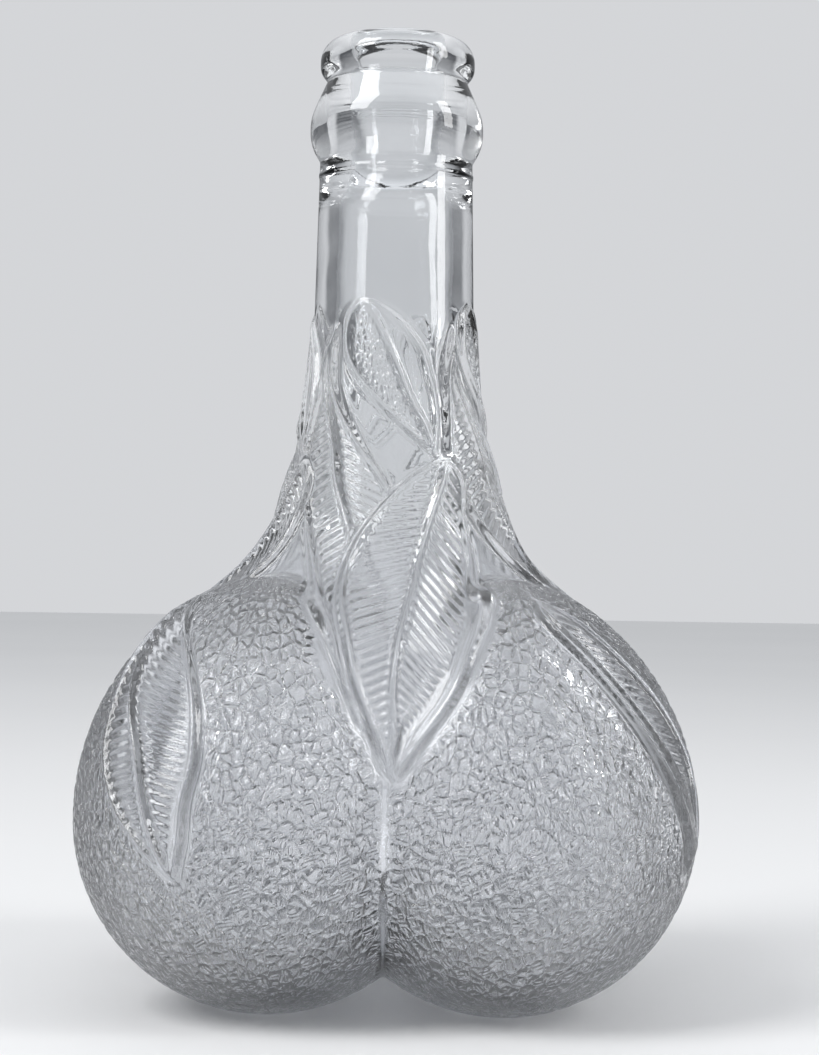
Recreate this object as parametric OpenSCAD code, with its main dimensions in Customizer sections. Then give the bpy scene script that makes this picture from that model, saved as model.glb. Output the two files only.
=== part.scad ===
// Clear glass bottle: a crown finish and a round neck that flares into a cluster of four
// round fruits, with long leaves in relief on the neck, in the valleys and over the fruits.
// One glass moulding, drawn as the zones that meet face to face. Millimetres, +Z up,
// the origin on the surface it stands on, the front valley towards -Y.

/* [Finish] */
// Height of the bottle
height = 163; // [158:0.5:170]
// Diameter of the mouth bore
bore_d = 16; // [15:0.1:17]
// Diameter of the locking bead that a crown cap grips
bead_d = 26.6; // [26.2:0.1:26.9]
// Height of the bead
bead_h = 7.3; // [6.5:0.1:7.6]
// Diameter of the ring under the bead
ring_d = 29.8; // [28.6:0.1:30.4]
// Distance of the middle of the ring below the mouth
ring_drop = 16; // [15.6:0.1:16.4]
// Height of the whole finish, down to the neck
finish_h = 21.8; // [21:0.1:23]

/* [Neck and flare] */
// Diameter of the neck under the finish
neck_d = 26.3; // [25.8:0.1:26.8]
// Diameter of the neck where the flare starts
neck_low_d = 27.8; // [27.2:0.1:28.4]
// Height at which the flare starts
flare_z = 106; // [104:0.5:108]
// Radius of the flare's waist, where it turns outwards
waist_r = 19.7; // [19.2:0.1:20.2]
// Height of the flare's waist
waist_z = 75.4; // [74.5:0.1:76]
// Radius of the shoulder under the flare
shoulder_r = 41.3; // [40.8:0.1:41.8]
// Height of the shoulder
shoulder_z = 57.3; // [56.5:0.1:58]

/* [Fruits] */
// Distance of a fruit's stem line from each middle plane
fruit_offset = 19.1; // [18.8:0.1:19.4]
// Radius of a fruit at its widest
fruit_r = 31.7; // [31.4:0.1:32]
// Radius of the curve up a fruit's side
cheek_r = 42; // [41.5:0.1:43]
// Height of a fruit's top
fruit_top = 70.2; // [69.8:0.1:70.6]
// Radius of the flat pad that each fruit stands on
pad_r = 6; // [5:0.1:7]
// Height of the heel under each fruit, as far as the mould's bottom plate forms it
heel_h = 22; // [20:0.5:23]

/* [Glass] */
// Thickness of a fruit's wall
fruit_wall = 3; // [2.6:0.1:3.4]
// Thickness of the flare and shoulder wall
flare_wall = 3.6; // [3.2:0.1:4]
// Thickness of the glass over the pads
floor_t = 4.2; // [3.5:0.1:5]
// Radius of the inside of the neck
neck_in_r = 9.8; // [9.4:0.1:10]

/* [Leaves] */
// Height of a leaf's raised border and midrib
rib_h = 0.9; // [0.6:0.05:1.1]
// Height of the panel between border and midrib
panel_h = 0.4; // [0.3:0.05:0.5]
// Steps along a leaf
leaf_steps = 14; // [10:1:16]

/* [Hidden] */

// Directions round the bottle, anticlockwise from +X
right = 0;
back = 90;
left = 180;
front = 270;
back_right = 45;
back_left = 135;
front_left = 225;
front_right = 315;

// Facets of a turned form, and of an arc in its outline
turn_fn = 96;
arc_steps = 8;
fruits = 4;
sector = 360 / fruits;

// Finish: rounding of the mouth, the lip, the foot of the bead and the ring's two edges
mouth_round = 0.7;
lip_round = 4;
bead_round = 2.6;
step_round = 0.6;
ring_top_round = 8.5;
ring_foot_round = 7.5;
// The bead runs in to the step under it, this deep and this high. Half the height of the
// ring's belly, and the height of its foot
bead_step = 1.3;
bead_skirt = 1.5;
belly = 2.2;
ring_foot = 0.5;
finish_z = height - finish_h;
bead_z = height - bead_h;
ring_z = height - ring_drop;
bore_r = bore_d / 2;

// Flare and shoulder: bends where their straight stretches meet, outside and inside
flare_bend = 60;
waist_bend = 30;
shoulder_bend = 12;
valley_bend = 2;
throat_bend = 6;
// Length of the throat, over which the bore widens to the inside of the neck
throat_h = 7;

// A fruit is three arcs round its stem line: a ball below, a flatter cheek and a round cap
fruit_z = sqrt(fruit_r ^ 2 - pad_r ^ 2);
fruit_up = fruit_top - fruit_z;
cap_r = (2 * cheek_r * fruit_r - fruit_r ^ 2 - fruit_up ^ 2) / (2 * (cheek_r - fruit_up));
cap_up = fruit_up - cap_r;
cheek_in = cheek_r - fruit_r;
join_a = atan2(cap_up, cheek_in);
join_up = cheek_r * sin(join_a);
stem_d = fruit_offset * sqrt(2);

// The height at which the valley runs out between two fruits, and the foot of the space inside
valley_z = 39;
cavity_z = 36;
// Size of a block that cuts away everything on one side
cut = 200;
glass = [0.82, 0.86, 0.88, 0.45];
leaf_glass = [0.72, 0.82, 0.84, 0.6];

// Points of an arc after its first, which ends the line before it
function arc(middle, r, from, to) =
    [for (i = [1 : arc_steps])
        let (a = from + (to - from) * i / arc_steps)
        middle + r * [cos(a), sin(a)]];
// Points of a line with its corners rounded. Each corner is [across, up, radius]
function unit(v) = v / norm(v);
function corner_arc(a, b, c) =
    let (u = unit([a.x - b.x, a.y - b.y]),
         v = unit([c.x - b.x, c.y - b.y]),
         half = acos(u * v) / 2,
         middle = [b.x, b.y] + unit(u + v) * b.z / sin(half),
         p = [b.x, b.y] + u * b.z / tan(half) - middle,
         q = [b.x, b.y] + v * b.z / tan(half) - middle,
         from = atan2(p.y, p.x),
         swing = (atan2(q.y, q.x) - from + 540) % 360 - 180)
    concat([middle + p], arc(middle, b.z, from, from + swing));
function rounded(line) =
    [for (i = [0 : len(line) - 1])
        each (i == 0 || i == len(line) - 1 || line[i].z == 0
            ? [[line[i].x, line[i].y]]
            : corner_arc(line[i - 1], line[i], line[i + 1]))];

// Outer line of the neck, the flare and the shoulder, from the finish down to the valley's end
crease_r = fruit_offset + sqrt(fruit_round(valley_z) ^ 2 - fruit_offset ^ 2);
body_line = rounded([
    [neck_d / 2, finish_z, 0],
    [neck_low_d / 2, flare_z, flare_bend],
    [waist_r, waist_z, waist_bend],
    [shoulder_r, shoulder_z, shoulder_bend],
    [crease_r, valley_z, 0]]);
// Inner line of the same stretch, a wall's thickness inside
inner_line = rounded([
    [bore_r, finish_z, 0],
    [neck_in_r, finish_z - throat_h, throat_bend],
    [neck_low_d / 2 - flare_wall, flare_z, flare_bend],
    [waist_r - flare_wall, waist_z - 1, waist_bend],
    [shoulder_r - flare_wall, shoulder_z - 1.5, shoulder_bend],
    [crease_r - flare_wall, valley_z + 1.5, valley_bend],
    [crease_r - flare_wall, cavity_z, 0]]);
// Lip, bead and ring, from the foot of the bore up and over to the neck
finish_line = rounded([
    [bore_r, finish_z, 0],
    [bore_r, height, mouth_round],
    [bead_d / 2, height, lip_round],
    [bead_d / 2, bead_z + bead_skirt, bead_round],
    [bead_d / 2 - bead_step, bead_z, step_round],
    [ring_d / 2, ring_z + belly, ring_top_round],
    [ring_d / 2, ring_z - belly, ring_foot_round],
    [neck_d / 2, finish_z + ring_foot, step_round],
    [neck_d / 2, finish_z, 0]]);

// Radius of a fruit, and of the neck and shoulder, at a height
function fruit_round(z) =
    let (up = z - fruit_z)
    up <= 0 ? sqrt(max(fruit_r ^ 2 - up ^ 2, 0))
    : up < join_up ? sqrt(cheek_r ^ 2 - up ^ 2) - cheek_in
    : sqrt(max(cap_r ^ 2 - (up - cap_up) ^ 2, 0));
function body_round(z) = lookup(z, [for (p = body_line) [p.y, p.x]]);
// How far the nearest fruit reaches from the bottle's axis, in one direction at a height
function fruit_reach(turn, z) =
    let (off = (turn % sector + sector) % sector - sector / 2,
         aside = stem_d * sin(off),
         r = fruit_round(z))
    r > abs(aside) ? stem_d * cos(off) + sqrt(r ^ 2 - aside ^ 2) : 0;
function blend(a, b, soft) = max(a, b) + max(soft - abs(a - b), 0) ^ 2 / (4 * soft);
function reach(turn, z, soft) =
    soft == 0 ? max(body_round(z), fruit_reach(turn, z)) : blend(body_round(z), fruit_reach(turn, z), soft);

// A leaf's face bridges a crease softly, over this width. A short step along the glass
// each way gives the direction that it faces
crease_soft = 3;
probe = 0.3;

// A point on the glass, sideways round the bottle from a direction, or round a fruit's stem line
function on_body(turn, side, z, soft) =
    let (a = turn + side / body_round(z) * 180 / PI,
         r = reach(a, z, soft))
    [r * cos(a), r * sin(a), z];
function on_fruit(turn, side, z) =
    let (a = side / fruit_r * 180 / PI,
         r = fruit_round(z),
         x = stem_d + r * cos(a),
         y = r * sin(a))
    [x * cos(turn) - y * sin(turn), x * sin(turn) + y * cos(turn), z];
function on_glass(fruit, turn, side, z, soft) =
    fruit ? on_fruit(turn, side, z) : on_body(turn, side, z, soft);
function lifted(fruit, turn, side, z, h) =
    let (p = on_glass(fruit, turn, side, z, crease_soft),
         across = on_glass(fruit, turn, side + probe, z, crease_soft) - p,
         up = on_glass(fruit, turn, side, z + probe, crease_soft) - p)
    p + unit(cross(across, up)) * h;

// A leaf's outline is a few rows of [height, left border, midrib, right border], each joined
// to the next by a smooth curve. The last three are sideways distances, right is anticlockwise
function smooth_row(rows, t) =
    let (i = min(floor(t), len(rows) - 2),
         f = t - i,
         a = rows[max(i - 1, 0)],
         b = rows[i],
         c = rows[i + 1],
         d = rows[min(i + 2, len(rows) - 1)])
    0.5 * (2 * b + (c - a) * f + (2 * a - 5 * b + 4 * c - d) * f ^ 2 + (3 * b - a - 3 * c + d) * f ^ 3);

// Across a leaf: where each line lies between the midrib and a border, and its height
leaf_across = [-1, -0.86, -0.7, -0.12, 0, 0.12, 0.7, 0.86, 1];
edge_h = rib_h * 0.7;
leaf_height = [edge_h, rib_h, panel_h, panel_h, rib_h, panel_h, panel_h, rib_h, edge_h];
// Share of a leaf's height left at its two ends
end_share = 0.35;

// Long leaf in a valley, its tip where two fruits close
valley_rows = [
    [89.2, 8.6, 9, 9.3],
    [86.5, 2.6, 8, 9.9],
    [80, -3.3, 6.5, 13.3],
    [73.4, -6.8, 4.9, 14.5],
    [67, -8.4, 3.6, 14.5],
    [60, -6.8, 1.9, 13.4],
    [53.4, -5.2, 1.2, 11],
    [46.5, -2.3, 1.3, 6.6],
    [39.4, 1, 1.4, 1.8]];
// Leaf draped over a fruit
fruit_rows = [
    [67.5, -14.6, -14, -13.4],
    [64, -15, -11.5, -2.5],
    [58, -12, -7, 8],
    [51, -8.5, -2, 13.5],
    [43, -5.5, 3.8, 15.3],
    [36, -1.2, 6.6, 14.2],
    [30, 4.5, 8.8, 13.8],
    [24, 11.4, 11.8, 12.2]];
// Broad leaf on the neck
neck_rows = [
    [117, -4, -3.4, -2.8],
    [114, -7.6, -2.2, 1.4],
    [109, -8.6, -0.4, 5.4],
    [104.5, -6.9, 1.2, 6.8],
    [100, -3.2, 3, 8],
    [95.5, 1.2, 5.4, 8.4],
    [90.8, 7, 7.4, 7.8]];
// Long leaf that comes down the flare and runs out beside the valley leaf
flare_rows = [
    [113, -10.4, -10, -9.6],
    [108.5, -12.4, -11.2, -9.8],
    [104, -13.9, -12, -9.9],
    [99, -15.1, -11.2, -8.3],
    [92, -16.9, -9.8, -4.4],
    [86, -16.8, -9, -1],
    [79.5, -15.5, -8.8, -4.6],
    [73, -14.1, -10.2, -7.9],
    [66.5, -12.5, -10.7, -9.2],
    [61, -9.8, -9.4, -9]];

module leaf(rows, turn, fruit) {
    last = len(leaf_across) - 1;
    grid = [for (i = [0 : leaf_steps]) smooth_row(rows, i / leaf_steps * (len(rows) - 1))];
    sides = [for (g = grid) [for (u = leaf_across) g[2] + (u < 0 ? (g[2] - g[1]) * u : (g[3] - g[2]) * u)]];
    // A leaf thins out towards both ends
    swell = [for (i = [0 : leaf_steps]) end_share + (1 - end_share) * sqrt(sin(180 * i / leaf_steps))];
    top = [for (i = [0 : leaf_steps]) for (j = [0 : last])
        lifted(fruit, turn, sides[i][j], grid[i][0], leaf_height[j] * swell[i])];
    foot = [for (i = [0 : leaf_steps]) for (j = [0 : last])
        on_glass(fruit, turn, sides[i][j], grid[i][0], 0)];
    n = last + 1;
    under = len(top);
    faces = [
        for (i = [0 : leaf_steps - 1]) for (j = [0 : last - 1])
            let (a = i * n + j, b = a + 1, c = b + n, d = a + n)
            each [[a, b, c], [a, c, d],
                [under + a, under + c, under + b], [under + a, under + d, under + c]],
        for (i = [0 : leaf_steps - 1]) for (j = [0, last])
            let (a = i * n + j, d = a + n)
            each (j == 0
                ? [[a, d, under + d], [a, under + d, under + a]]
                : [[a, under + d, d], [a, under + a, under + d]]),
        for (j = [0 : last - 1]) for (i = [0, leaf_steps])
            let (a = i * n + j, b = a + 1)
            each (i == 0
                ? [[a, under + a, under + b], [a, under + b, b]]
                : [[a, under + b, under + a], [a, b, under + b]])];
    polyhedron(concat(top, foot), faces);
}

// A fruit, or the hollow in it when its arcs are drawn a wall smaller
module fruit_form(wall) {
    foot = (wall > 0 ? floor_t : 0) - fruit_z;
    ball = fruit_r - wall;
    outline = concat(
        [[0, foot], ball * [cos(asin(foot / ball)), foot / ball]],
        arc([0, 0], ball, asin(foot / ball), 0),
        arc([-cheek_in, 0], cheek_r - wall, 0, join_a),
        arc([0, cap_up], cap_r - wall, join_a, 90));
    translate([fruit_offset, fruit_offset, fruit_z])
        rotate_extrude($fn = turn_fn) polygon(outline);
}

// The space inside the neck, the flare and the shoulder
module hollow() {
    rotate_extrude($fn = turn_fn)
        polygon(concat([[0, cavity_z], [0, finish_z]], inner_line));
}

module crown_finish() {
    color(glass) rotate_extrude($fn = turn_fn) polygon(finish_line);
}

module neck() {
    color(glass) difference() {
        rotate_extrude($fn = turn_fn)
            polygon(concat([[0, flare_z], [0, finish_z]],
                [for (p = body_line) if (p.y > flare_z) p], [[body_round(flare_z), flare_z]]));
        hollow();
    }
}

module shoulder() {
    color(glass) difference() {
        rotate_extrude($fn = turn_fn)
            polygon(concat([[0, valley_z], [0, flare_z], [body_round(flare_z), flare_z]],
                [for (p = body_line) if (p.y < flare_z) p]));
        hollow();
        for (i = [0 : fruits - 1]) rotate(i * sector) fruit_form(0);
    }
}

// One fruit's share of the hollow cluster, up to the two planes where it meets its neighbours
module fruit_shell(turn) {
    rotate(turn - sector / 2) difference() {
        fruit_form(0);
        fruit_form(fruit_wall);
        hollow();
        translate([-cut, -cut / 2, -cut / 2]) cube([cut, 2 * cut, cut]);
        translate([-cut / 2, -cut, -cut / 2]) cube([2 * cut, cut, cut]);
    }
}

module fruit(turn) {
    color(glass) difference() {
        fruit_shell(turn);
        translate([-cut / 2, -cut / 2, heel_h - cut]) cube(cut);
    }
}

module heel(turn) {
    color(glass) difference() {
        fruit_shell(turn);
        translate([-cut / 2, -cut / 2, heel_h]) cube(cut);
    }
}

module valley_leaf(turn) {
    color(leaf_glass) leaf(valley_rows, turn, false);
}

module fruit_leaf(turn) {
    color(leaf_glass) leaf(fruit_rows, turn, true);
}

module neck_leaf(turn) {
    color(leaf_glass) leaf(neck_rows, turn, false);
}

module flare_leaf(turn) {
    color(leaf_glass) leaf(flare_rows, turn, false);
}

crown_finish();
neck();
shoulder();
fruit(front_left);  // fruit_front_left
fruit(front_right);  // fruit_front_right
fruit(back_right);  // fruit_back_right
fruit(back_left);  // fruit_back_left
heel(front_left);  // heel_front_left
heel(front_right);  // heel_front_right
heel(back_right);  // heel_back_right
heel(back_left);  // heel_back_left
valley_leaf(front);  // valley_leaf_front
valley_leaf(right);  // valley_leaf_right
valley_leaf(back);  // valley_leaf_back
valley_leaf(left);  // valley_leaf_left
fruit_leaf(front_left);  // fruit_leaf_front_left
fruit_leaf(front_right);  // fruit_leaf_front_right
fruit_leaf(back_right);  // fruit_leaf_back_right
fruit_leaf(back_left);  // fruit_leaf_back_left
neck_leaf(front);  // neck_leaf_front
neck_leaf(right);  // neck_leaf_right
neck_leaf(back);  // neck_leaf_back
neck_leaf(left);  // neck_leaf_left
flare_leaf(front);  // flare_leaf_front
flare_leaf(right);  // flare_leaf_right
flare_leaf(back);  // flare_leaf_back
flare_leaf(left);  // flare_leaf_left
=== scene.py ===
import math

import bpy
import numpy as np
from mathutils import Matrix, Vector


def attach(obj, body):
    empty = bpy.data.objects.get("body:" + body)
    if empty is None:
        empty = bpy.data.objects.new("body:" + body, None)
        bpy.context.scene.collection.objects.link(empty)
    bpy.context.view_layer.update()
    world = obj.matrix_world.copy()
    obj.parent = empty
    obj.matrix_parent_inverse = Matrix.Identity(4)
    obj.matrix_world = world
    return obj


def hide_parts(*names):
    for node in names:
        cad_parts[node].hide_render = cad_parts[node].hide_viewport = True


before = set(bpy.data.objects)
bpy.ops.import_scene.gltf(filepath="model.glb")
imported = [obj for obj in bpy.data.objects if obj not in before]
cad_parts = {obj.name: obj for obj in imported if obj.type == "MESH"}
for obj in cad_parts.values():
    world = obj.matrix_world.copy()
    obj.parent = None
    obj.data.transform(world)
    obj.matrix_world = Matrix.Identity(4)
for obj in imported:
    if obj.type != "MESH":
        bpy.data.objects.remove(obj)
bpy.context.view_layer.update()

# Everything below is in millimetres and degrees until a mesh is written
MM = 0.001

# Finish: the same driving sizes as the solids
HEIGHT = 163.0
BORE_R = 8.0
BEAD_R = 13.3
BEAD_Z = HEIGHT - 7.3
BEAD_STEP = 1.3
BEAD_SKIRT = 1.5
RING_R = 14.9
RING_Z = 147.0
RING_BELLY = 2.2
FINISH_Z = HEIGHT - 21.8
FINISH_FOOT = 0.5
# Radii of the finish's rounded corners, from the bore out and down
MOUTH_ROUND = 0.7
LIP_ROUND = 4
BEAD_ROUND = 2.6
STEP_ROUND = 0.6
RING_TOP_ROUND = 8.5
RING_FOOT_ROUND = 7.5
# Neck, flare and shoulder, with the radii that round their corners
NECK_R = 13.15
NECK_LOW_R = 13.9
FLARE_Z = 106.0
FLARE_ROUND = 60
WAIST_R = 19.7
WAIST_Z = 75.4
WAIST_ROUND = 30
SHOULDER_R = 41.3
SHOULDER_Z = 57.3
SHOULDER_ROUND = 12
VALLEY_Z = 39.0
# Inside them: the throat, the wall, and how much lower the hollow's corners lie
NECK_IN_R = 9.8
THROAT_DROP = 7
THROAT_ROUND = 6
FLARE_WALL = 3.6
WAIST_DROP = 1
SHOULDER_DROP = 1.5
# The foot of the hollow under the shoulder: how much thicker the glass is at the valley, how
# far above the valley the line turns in, and where it ends
VALLEY_EXTRA = 3.5
VALLEY_LIFT = 4
HOLLOW_IN = 16
HOLLOW_LOW_Z = 30
# The line that the mould's neck ring leaves round the neck: its height, how far it stands out
# and how wide it is
SEAM_Z = 139.3
SEAM_OUT = 0.16
SEAM_WIDE = 0.4

# Fruits: a ball below, a flatter cheek up the side and a round cap
STEM = 19.1
FRUIT_R = 31.7
CHEEK_R = 42.0
FRUIT_TOP = 70.2
PAD_R = 6.0
WALL = 3.0
FLOOR = 4.2
FRUIT_Z = math.sqrt(FRUIT_R ** 2 - PAD_R ** 2)
UP = FRUIT_TOP - FRUIT_Z
CAP_R = (2 * CHEEK_R * FRUIT_R - FRUIT_R ** 2 - UP ** 2) / (2 * (CHEEK_R - UP))
CAP_UP = UP - CAP_R
CHEEK_IN = CHEEK_R - FRUIT_R
JOIN = math.atan2(CAP_UP, CHEEK_IN)
STEM_D = STEM * math.sqrt(2)

# Skins: the point that all rays of the grid start from, and the columns round the bottle
HEART_Z = 40.0
FINE = 960
MIDDLE = 480
COARSE = 240
# Distance between rows on the finish, the neck, the flare and fruits, the bore and the hollow
ROW_FINISH = 0.4
ROW_NECK = 0.35
ROW_FINE = 0.38
ROW_BORE = 0.6
ROW_INNER = 1.2
# The rays start below the upper height. The columns double below the lower one, and the hollow
# passes from the shoulder's piece to the fruits' a little below that
UPPER_Z = 118.0
LOWER_Z = 78.0
HOLLOW_DROP = 6
# How softly the forms run into one another, outside and inside
SOFT_OUTER = 1.0
SOFT_INNER = 2.0
# Nearest and farthest that a ray can leave the form, and how often the search halves it
NEAR = 2.0
FAR = 130.0
HALVINGS = 20
# Trial rays that set the rows' spacing: degrees of the steep first stretch, the counts in it
# and in the rest, and the directions that they are averaged over
STEEP = 20
STEEP_COUNT = 800
REST_COUNT = 1600
TRIAL_WAYS = (0.0, 22.5, 45.0)


def rounded(line, steps=10):
    """Points of a line whose corners, each (across, up, radius), are rounded."""
    out = []
    for i, (x, y, r) in enumerate(line):
        if r == 0 or i in (0, len(line) - 1):
            out.append((x, y))
            continue
        b = np.array((x, y))
        u = np.array(line[i - 1][:2]) - b
        v = np.array(line[i + 1][:2]) - b
        u = u / np.linalg.norm(u)
        v = v / np.linalg.norm(v)
        half = math.acos(float(u @ v)) / 2
        bisector = (u + v) / np.linalg.norm(u + v)
        middle = b + bisector * r / math.sin(half)
        p = b + u * r / math.tan(half) - middle
        q = b + v * r / math.tan(half) - middle
        a = math.atan2(p[1], p[0])
        swing = (math.atan2(q[1], q[0]) - a + 3 * math.pi) % (2 * math.pi) - math.pi
        for k in range(steps + 1):
            t = a + swing * k / steps
            out.append((middle[0] + r * math.cos(t), middle[1] + r * math.sin(t)))
    return np.array(out)


# Radius at which the crease between two fruits passes under the valley
CHEEK_OUT = math.sqrt(CHEEK_R ** 2 - (VALLEY_Z - FRUIT_Z) ** 2) - CHEEK_IN
CREASE_R = STEM + math.sqrt(CHEEK_OUT ** 2 - STEM ** 2)
# Turned lines, each from the top down, of corners (across, up, radius)
BODY = rounded([
    (NECK_R, FINISH_Z, 0),
    (NECK_LOW_R, FLARE_Z, FLARE_ROUND),
    (WAIST_R, WAIST_Z, WAIST_ROUND),
    (SHOULDER_R, SHOULDER_Z, SHOULDER_ROUND),
    (CREASE_R, VALLEY_Z, 0)])
INSIDE = rounded([
    (BORE_R, FINISH_Z, 0),
    (NECK_IN_R, FINISH_Z - THROAT_DROP, THROAT_ROUND),
    (NECK_LOW_R - FLARE_WALL, FLARE_Z, FLARE_ROUND),
    (WAIST_R - FLARE_WALL, WAIST_Z - WAIST_DROP, WAIST_ROUND),
    (SHOULDER_R - FLARE_WALL, SHOULDER_Z - SHOULDER_DROP, SHOULDER_ROUND),
    (CREASE_R - FLARE_WALL - VALLEY_EXTRA, VALLEY_Z + VALLEY_LIFT, THROAT_ROUND),
    (CREASE_R - FLARE_WALL - HOLLOW_IN, HOLLOW_LOW_Z, 0)])
# The finish starts with the bore, from its foot up, and goes on over the lip
FINISH = rounded([
    (BORE_R, FINISH_Z, 0),
    (BORE_R, HEIGHT, MOUTH_ROUND),
    (BEAD_R, HEIGHT, LIP_ROUND),
    (BEAD_R, BEAD_Z + BEAD_SKIRT, BEAD_ROUND),
    (BEAD_R - BEAD_STEP, BEAD_Z, STEP_ROUND),
    (RING_R, RING_Z + RING_BELLY, RING_TOP_ROUND),
    (RING_R, RING_Z - RING_BELLY, RING_FOOT_ROUND),
    (NECK_R, FINISH_Z + FINISH_FOOT, STEP_ROUND),
    (NECK_R, FINISH_Z, 0)], steps=12)


def turned(line, z):
    """Radius of a turned line at heights z, and the cosine of its slope."""
    heights = line[::-1, 1]
    radii = line[::-1, 0]
    r = np.interp(z, heights, radii)
    slope = np.interp(z + 0.5, heights, radii) - np.interp(z - 0.5, heights, radii)
    return r, 1 / np.sqrt(1 + slope ** 2)


def fruit_gap(x, y, z, wall):
    """Distance outside the nearest fruit, or outside its hollow when a wall is given."""
    r = np.hypot(x - STEM, y - STEM)
    up = z - FRUIT_Z
    ball = np.hypot(r, up) - FRUIT_R
    cheek = np.hypot(r + CHEEK_IN, up) - CHEEK_R
    cap = np.hypot(r, up - CAP_UP) - CAP_R
    angle = np.arctan2(up, r + CHEEK_IN)
    gap = np.where(up <= 0, ball, np.where(angle < JOIN, cheek, cap)) + wall
    foot = FLOOR if wall else 0.0
    return np.maximum(gap, foot - z)


def soft_min(a, b, soft):
    """The smaller of two distances, run together where they differ by less than soft."""
    return np.minimum(a, b) - np.maximum(soft - np.abs(a - b), 0) ** 2 / (4 * soft)


def glass_gap(p, line, wall, soft):
    """Distance outside the whole form: four fruits run together, and the flare run into them."""
    x, y, z = np.abs(p[..., 0]), np.abs(p[..., 1]), p[..., 2]
    near = fruit_gap(x, y, z, wall)
    gap = soft_min(near, fruit_gap(-x, y, z, wall), soft)
    gap = soft_min(gap, fruit_gap(x, -y, z, wall), soft)
    r, cosine = turned(line, z)
    low = line[-1, 1]
    body = np.maximum((np.hypot(x, y) - r) * cosine, low - z)
    return soft_min(gap, body, soft)


def ray_points(alphas, thetas, gap):
    """Where rays from the bottle's heart leave the form, for each polar angle and azimuth."""
    a = np.radians(alphas)[:, None]
    t = np.radians(thetas)[None, :]
    way = np.stack([np.sin(a) * np.cos(t), np.sin(a) * np.sin(t), np.cos(a) + 0 * t], axis=-1)
    heart = np.array([0, 0, HEART_Z])
    low = np.full(way.shape[:2], NEAR)
    high = np.full(way.shape[:2], FAR)
    for _ in range(HALVINGS):
        middle = (low + high) / 2
        outside = gap(heart + way * middle[..., None]) > 0
        high = np.where(outside, middle, high)
        low = np.where(outside, low, middle)
    return heart + way * ((low + high) / 2)[..., None]


def even_alphas(gap, start, step):
    """Polar angles from a start down to the foot, whose rows lie a step apart on the skin."""
    steep = np.linspace(start, start + STEEP, STEEP_COUNT)
    rest = np.linspace(start + STEEP, 180, REST_COUNT)[1:]
    alphas = np.concatenate([steep, rest])
    lines = ray_points(alphas, np.array(TRIAL_WAYS), gap)
    step_length = np.linalg.norm(np.diff(lines, axis=0), axis=-1).mean(axis=1)
    run = np.concatenate([[0], np.cumsum(step_length)])
    return np.interp(np.linspace(0, run[-1], int(run[-1] / step) + 1), run, alphas)


# Leaves: rows of (height, left border, midrib, right border), the last three sideways from
# the leaf's own direction round the bottle, or round its fruit's stem line
VALLEY_LEAF = [
    (90, 9, 9.6, 10.2),
    (86.5, 2.6, 8.6, 12.9),
    (80, -3.3, 6.5, 13.3),
    (73.4, -7, 4.8, 14.5),
    (67, -8.4, 3.5, 14.5),
    (60, -7, 1.8, 13.4),
    (53.4, -5.2, 1, 11),
    (46.5, -2.3, 1.3, 6.6),
    (39.4, 1, 1.4, 1.8)]
FRUIT_LEAF = [
    (67.5, -14.6, -14, -13.4),
    (64, -15, -11.5, -2.5),
    (58, -12, -7, 8),
    (51, -8.5, -2, 13.5),
    (43, -5.5, 3.8, 15.3),
    (36, -1.2, 6.6, 14.2),
    (30, 4.5, 8.8, 13.8),
    (24, 11.4, 11.8, 12.2)]
# The fruits at the front right and the back left carry a narrower leaf
NARROW_LEAF = [
    (67.5, -14.6, -14, -13.4),
    (64, -14.8, -12, -3),
    (58, -8.8, -6, 3.6),
    (51, -3.4, -0.6, 9.2),
    (43, 1.8, 5, 13.2),
    (36, 6.4, 8.8, 14),
    (30, 9.6, 11, 13.8),
    (24, 11.8, 12.1, 12.4)]
NECK_LEAF = [
    (117, -5.6, -4.9, -4.2),
    (114, -8.2, -3, 0.7),
    (109, -8.7, -0.6, 5.1),
    (104.5, -6.9, 1.2, 6.8),
    (100, -3.2, 3, 8),
    (95.5, 1.2, 5.4, 8.4),
    (90.8, 7, 7.4, 7.8)]
FLARE_LEAF = [
    (113, -10.4, -10, -9.6),
    (108.5, -12.4, -11.2, -9.8),
    (104, -13.9, -12, -9.9),
    (99, -15.1, -11.2, -8.3),
    (92, -16.9, -9.6, -4.4),
    (86, -16.8, -8.9, -0.4),
    (79.5, -15.5, -7.1, 2.5),
    (73, -13.8, -5.5, 1),
    (66.5, -12.1, -4.9, 0),
    (60, -9.2, -4.2, -1),
    (53.5, -6.4, -3.5, -2),
    (47, -3.6, -3, -2.6)]
# Veins: their pitch, how steeply they fall away from the midrib left and right of it, and the
# width of the plain band inside the left and the right border, each at the leaf's foot and top
VALLEY_VEINS = (1.5, (0.6, 0.05), (0.9, 0.9), (2.1, 2.1), (4.4, 1.4))
FRUIT_VEINS = (1.55, (0.25, 0.25), (0.25, 0.25), (1.9, 1.9), (2.8, 2.8))
NECK_VEINS = (1.5, (0.3, 0.3), (0.3, 0.3), (1.5, 1.5), (1.5, 1.5))
FLARE_VEINS = (1.6, (0.5, 0.5), (0.5, 0.5), (2.6, 2.1), (2.1, 2.1))
# Heights of a leaf's border, midrib and panel above the glass
RIB = 1.15
MIDRIB = 1.4
PANEL = 0.35
# Softness of the leaf's edge, how far inside it the border lies, and the widths of both ribs
EDGE = 0.45
BORDER_IN = 0.95
BORDER_WIDE = 0.65
MIDRIB_WIDE = 0.75
# The moat cut round each leaf: its depth, how far outside the edge it lies, and its width
MOAT = 0.25
MOAT_OUT = 0.7
MOAT_WIDE = 0.5
# The neck leaf stands out less than the others, and the valley leaf's right border less than
# its left one
NECK_SHARE = 0.6
VALLEY_SHARE = 0.6
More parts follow.
